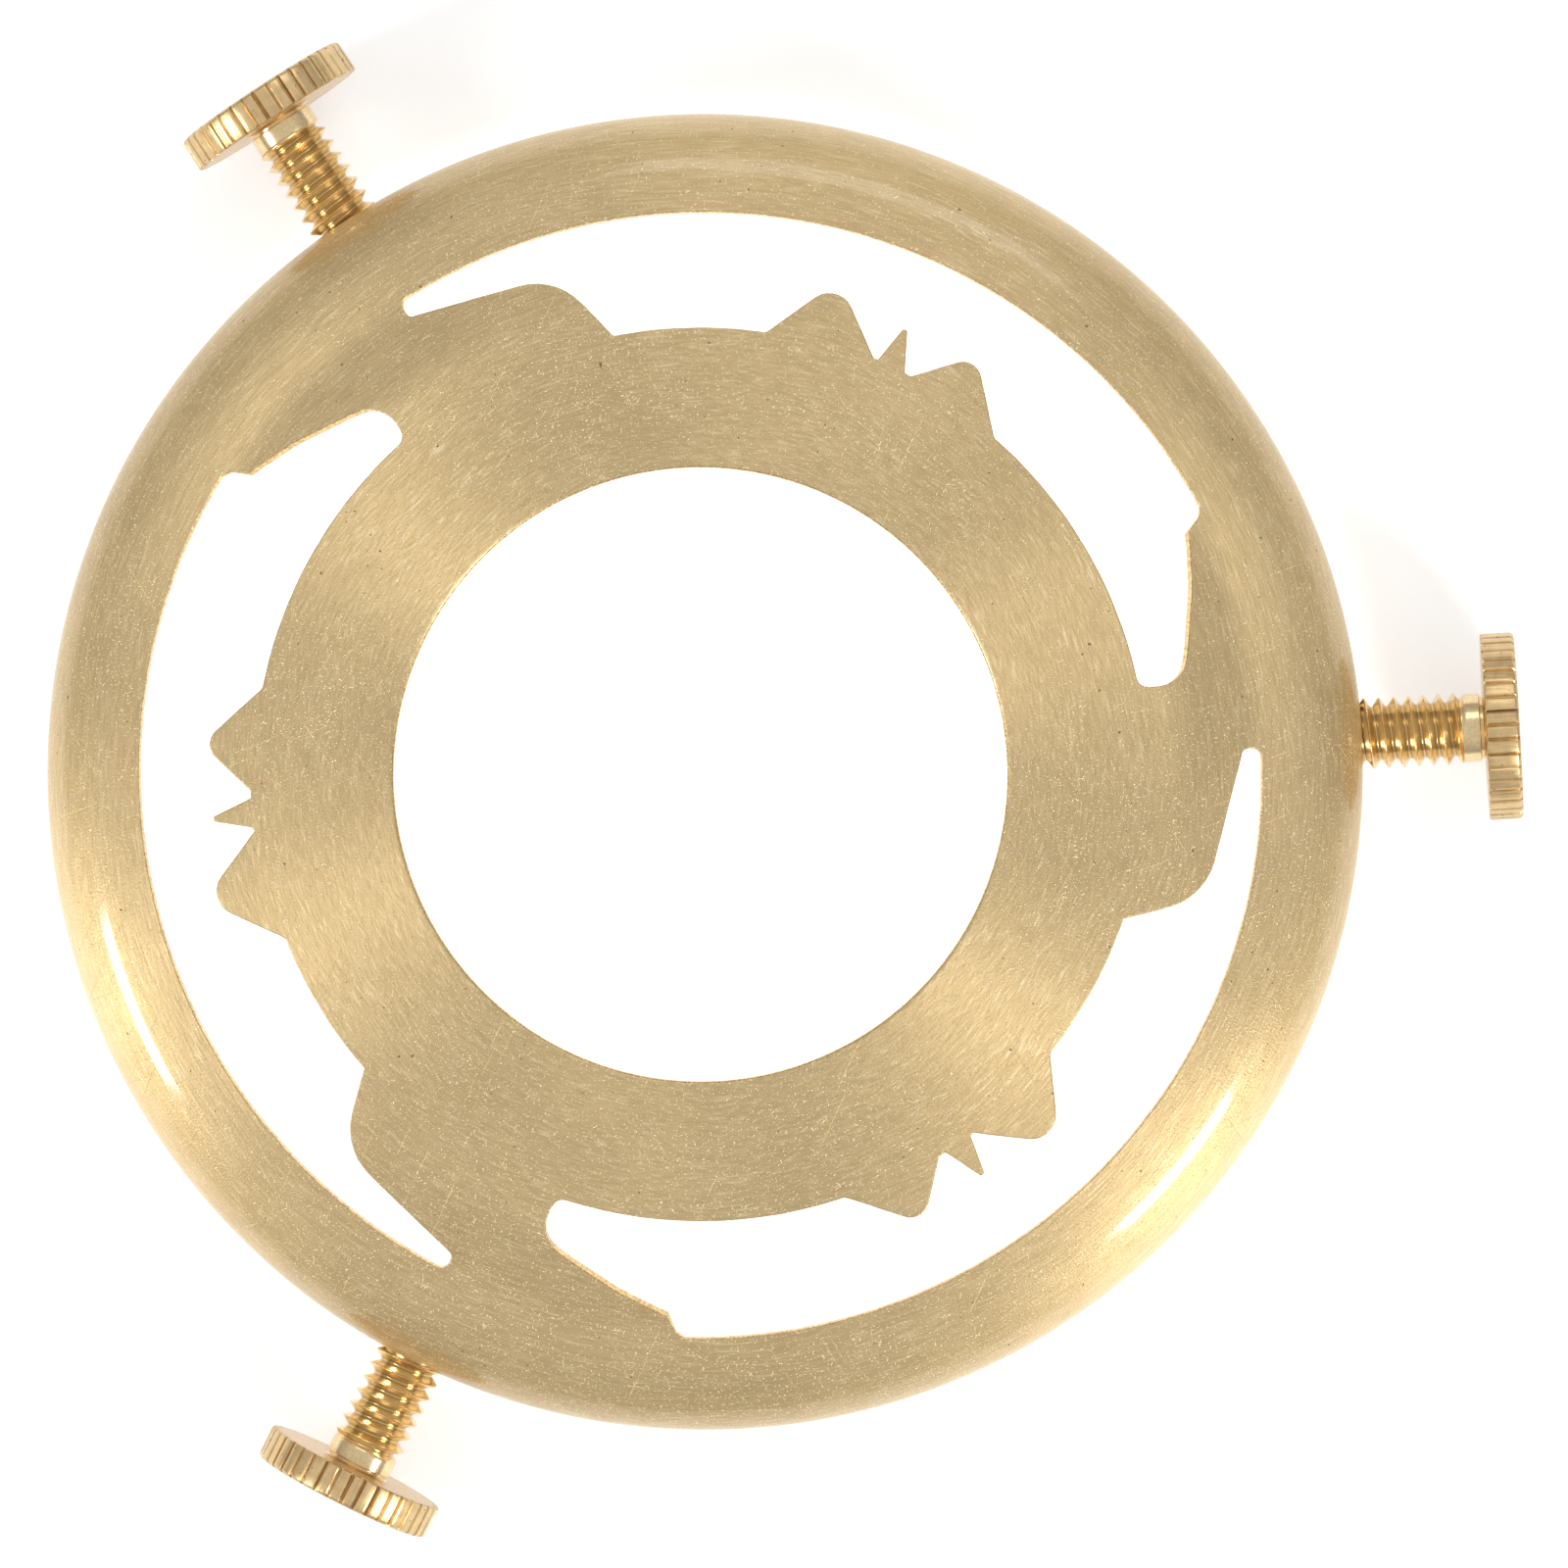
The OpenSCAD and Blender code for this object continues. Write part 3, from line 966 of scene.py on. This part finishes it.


# %% [markdown]
# ## The other finishes
#
# The inner skin never met the brush, so it is duller, with the faint radial marks of drawing. A
# punched edge is bright metal torn into small upright steps, with its colour darkened as painted
# shade. The shank of a screw shines, with rings from the tool and painted shade in its thread
# roots, and its head is duller, with drag marks along the ribs, a few dark pits, and painted shade
# in the grooves between the ribs.

# %% Inside, cut edges, shank and head
RADIAL_MARKS = 160
INSIDE_DEEP = (0.50, 0.345, 0.165, 1)
INSIDE_LIGHT = (0.68, 0.50, 0.25, 1)
# The cut edges are darkened as painted shade, so that they don't shine with the table's glow.
TORN_DEEP_PAINTED_SHADE = (0.42, 0.29, 0.12, 1)
TORN_LIGHT_PAINTED_SHADE = (0.74, 0.55, 0.27, 1)
SHANK_DEEP = (0.80, 0.60, 0.32, 1)
SHANK_LIGHT = (0.89, 0.70, 0.41, 1)
# The brown of the painted shade in the thread roots.
ROOT_PAINTED_SHADE = (0.50, 0.33, 0.14, 1)
HEAD_DEEP = (0.62, 0.425, 0.20, 1)
HEAD_LIGHT = (0.80, 0.585, 0.30, 1)
# The brown of the painted shade in the rib grooves, and of the dark pits.
GROOVE_SHADE_AND_PIT_BROWN = (0.20, 0.12, 0.05, 1)


def dull_inside_brass():
    finish = Finish("dull_inside_brass")
    x, y, z = finish.place()
    r = finish.maths("SQRT", x * x + y * y)
    drawing = finish.noise(finish.vector(x / r * RADIAL_MARKS, y / r * RADIAL_MARKS, z / 6), 0, 1)
    patches = finish.cloud((x, y, z), 5, 2, 4)
    grain = finish.cloud((x, y, z), 0.25, 4, 2)
    tone = finish.clamped(patches * 0.8 + grain * 0.2, 0.35, 0.68)
    colour = finish.mixed(tone, INSIDE_DEEP, INSIDE_LIGHT)
    roughness = 0.40 + patches * 0.14 + grain * 0.06
    height = drawing * 0.6 + grain * 0.4
    return finish.metal(Base_Color=colour, Metallic=1.0, Roughness=roughness,
                        Normal=finish.relief(height, 0.010))


def punched_edge_brass():
    finish = Finish("punched_edge_brass")
    x, y, z = finish.place()
    steps = finish.noise(finish.vector(x / 0.17, y / 0.17, z / 1.6), 0, 2)
    grain = finish.cloud((x, y, z), 0.1, 3, 1)
    # Painted shade: the whole cut edge is darker than the brass, and the steps vary it.
    colour = finish.mixed(finish.clamped(steps, 0.3, 0.65), TORN_DEEP_PAINTED_SHADE, TORN_LIGHT_PAINTED_SHADE)
    return finish.metal(Base_Color=colour, Metallic=1.0, Roughness=0.24 + grain * 0.16,
                        Normal=finish.relief(steps * 0.8 + grain * 0.2, 0.05), Coat_Weight=0.2)


def turned_shank_brass():
    finish = Finish("turned_shank_brass")
    x, y, z = finish.place()
    rings = finish.noise(finish.vector(x / 1.5, y / 1.5, z / 0.06), 0, 1)
    grain = finish.cloud((x, y, z), 0.2, 5, 2)
    r = finish.maths("SQRT", x * x + y * y)
    # Painted shade: the colour turns brown towards the roots of the thread.
    root = finish.clamped(screw_r - r, 0.25, 0.62)
    bright = finish.mixed(finish.clamped(grain, 0.3, 0.7), SHANK_DEEP, SHANK_LIGHT)
    colour = finish.mixed(root * 0.65, bright, ROOT_PAINTED_SHADE)
    return finish.metal(Base_Color=colour, Metallic=1.0, Roughness=0.14 + rings * 0.08 + grain * 0.05,
                        Normal=finish.relief(rings, 0.006), Coat_Weight=0.15)


def ribbed_head_brass():
    finish = Finish("ribbed_head_brass")
    x, y, z = finish.place()
    r = finish.maths("SQRT", x * x + y * y)
    drag = finish.noise(finish.vector(x / 0.12, y / 0.12, z / 1.8), 0, 2)
    facing = finish.noise(finish.vector(r / 0.11, 0, 0), 0, 1)
    patches = finish.noise(finish.vector(x / 1.2, y / 1.2, z / 0.5), 3, 2)
    pits = finish.clamped(finish.cloud((x, y, z), 0.25, 6, 0), 0.74, 0.79)
    groove = finish.clamped(head_r - r, 0.10, 0.30)
    rim = finish.clamped(r, head_r - 0.55, head_r - 0.45)
    tone = finish.clamped(drag * 0.6 + patches * 0.4, 0.3, 0.68)
    colour = finish.mixed(tone, HEAD_DEEP, HEAD_LIGHT)
    # Painted shade darkens the grooves between the ribs near the edge; the pits are dark specks in the
    # metal.
    groove_shade_and_pits = finish.maths("MAXIMUM", groove * rim * 0.3, pits * 0.6)
    colour = finish.mixed(groove_shade_and_pits, colour, GROOVE_SHADE_AND_PIT_BROWN)
    height = drag * rim + facing * (1 - rim) * 0.5
    return finish.metal(Base_Color=colour, Metallic=1.0, Roughness=0.27 + patches * 0.14,
                        Normal=finish.relief(height, 0.02), Coat_Weight=0.2)


pressing.data.materials.append(satin_brushed_brass())
pressing.data.materials.append(dull_inside_brass())
pressing.data.materials.append(punched_edge_brass())
shank_finish = turned_shank_brass()
head_finish = ribbed_head_brass()
for screw in screws:
    screw.data.materials.append(shank_finish)
    screw.data.materials.append(head_finish)
for point in points_of_screws:
    point.data.materials.append(shank_finish)
print("finishes:", [material.name for material in bpy.data.materials])

# %% [markdown]
# ## Table, lights and camera
#
# Polished metal shows the room, so the room is as much a part of the finish as the material. The
# pale table glows as a painted pool of light, strongest under the openings, where it lifts the
# shadows, and its colour darkens away from the gallery as painted falloff. A dome gives the even
# base, and two soft boxes from the front left and the front right make the fans of light on the
# ring, and the white streaks in the lacquer on the shoulder. A weaker one stands behind.

# %% The table
TABLE_HALF = 0.6
# The table's glow is a painted pool of light that lifts the shadows under the gallery, and its colour
# darkens outwards as painted falloff.
GLOW = 0.95
GLOW_FADES = ((41, 46, 0.44), (58, 180, 0.51))
PAINTED_FALLOFF_FADES = ((42, 50, 0.3), (62, 220, 0.6))
TABLE_PALE = (0.80, 0.80, 0.80, 1)
TABLE_PALER = (0.84, 0.84, 0.84, 1)
TABLE_FAR_PAINTED_FALLOFF = (0.34, 0.34, 0.34, 1)


def fade(finish, r, start, end, share):
    """0 inside the first radius, and rising to a share outside the second one."""
    return finish.clamped(r, start, end) * share


def table():
    mesh = bpy.data.meshes.new("table_top")
    corners_of_table = ((-1, -1), (1, -1), (1, 1), (-1, 1))
    mesh.from_pydata([(x * TABLE_HALF, y * TABLE_HALF, edge_z * MM) for x, y in corners_of_table],
                     [], [(0, 1, 2, 3)])
    top = bpy.data.objects.new("table_top", mesh)
    bpy.context.scene.collection.objects.link(top)
    finish = Finish("pale_table")
    x, y, z = finish.place()
    r = finish.maths("SQRT", x * x + y * y)
    # Painted light: the glow is strongest under the gallery and fades outwards; the colour darkens far
    # out as painted falloff.
    glow = GLOW - fade(finish, r, *GLOW_FADES[0]) - fade(finish, r, *GLOW_FADES[1])
    lit = finish.mixed(glow, (0, 0, 0, 1), (1, 1, 1, 1))
    mottle = finish.noise(finish.vector(x / 40, y / 40, 0), 0, 2)
    pale = finish.mixed(mottle, TABLE_PALE, TABLE_PALER)
    painted_falloff = fade(finish, r, *PAINTED_FALLOFF_FADES[0]) + fade(finish, r, *PAINTED_FALLOFF_FADES[1])
    colour = finish.mixed(painted_falloff, pale, TABLE_FAR_PAINTED_FALLOFF)
    mesh.materials.append(finish.metal(Base_Color=colour, Metallic=0.0, Roughness=0.6,
                                       Emission_Color=lit, Emission_Strength=1.0))


table()

# %% The dome and the soft boxes
HORIZON = 0.41
ZENITH = 0.72
world = bpy.data.worlds.new("studio_dome")
world.use_nodes = True
bpy.context.scene.world = world
dome = Finish("studio_dome", world.node_tree)
direction = dome.out(dome.node("ShaderNodeTexCoord", {}, {}), "Generated")
height_in_sky = dome.out(dome.node("ShaderNodeSeparateXYZ", {}, {"Vector": direction}), "Z")
sky = dome.mixed(dome.clamped(height_in_sky, -0.1, 0.95), (*[HORIZON] * 3, 1), (*[ZENITH] * 3, 1))
background = dome.node("ShaderNodeBackground", {}, {"Color": sky, "Strength": 1.0})
dome.node("ShaderNodeOutputWorld", {}, {"Surface": dome.out(background)})


def soft_box(name, azimuth, elevation, distance, width, height, power):
    lamp = bpy.data.lights.new(name, "AREA")
    lamp.shape = "RECTANGLE"
    lamp.size = width
    lamp.size_y = height
    lamp.energy = power
    stand_in = bpy.data.objects.new(name, lamp)
    bpy.context.scene.collection.objects.link(stand_in)
    a, e = math.radians(azimuth), math.radians(elevation)
    way = Vector((math.cos(a) * math.cos(e), math.sin(a) * math.cos(e), math.sin(e)))
    stand_in.location = way * distance
    stand_in.rotation_euler = way.to_track_quat("Z", "Y").to_euler()


soft_box("soft_box_front_right", 315, 31, 0.8, 0.19, 0.20, 2.6)
soft_box("soft_box_front_left", 199, 31, 0.8, 0.19, 0.20, 2.05)
soft_box("soft_box_behind", 75, 45, 0.9, 0.50, 0.30, 0.7)

# %% The camera, straight above with a long lens
CAMERA_PLACE = Vector((0.0360, 0.01645, 0.9870))
CAMERA_AIM = Vector((0.00535, -0.00096, -0.0026))
CAMERA_TURN = math.radians(3.3)
LENS = 348
SENSOR = 36
camera_data = bpy.data.cameras.new("camera_above")
camera_data.lens = LENS
camera_data.sensor_width = SENSOR
camera = bpy.data.objects.new("camera_above", camera_data)
bpy.context.scene.collection.objects.link(camera)
back = (CAMERA_PLACE - CAMERA_AIM).normalized()
up = Vector((math.sin(CAMERA_TURN), math.cos(CAMERA_TURN), 0))
right = up.cross(back).normalized()
turned = Matrix((right, back.cross(right), back)).transposed().to_4x4()
camera.matrix_world = Matrix.Translation(CAMERA_PLACE) @ turned
bpy.context.scene.camera = camera
bpy.context.scene.view_settings.view_transform = "Standard"
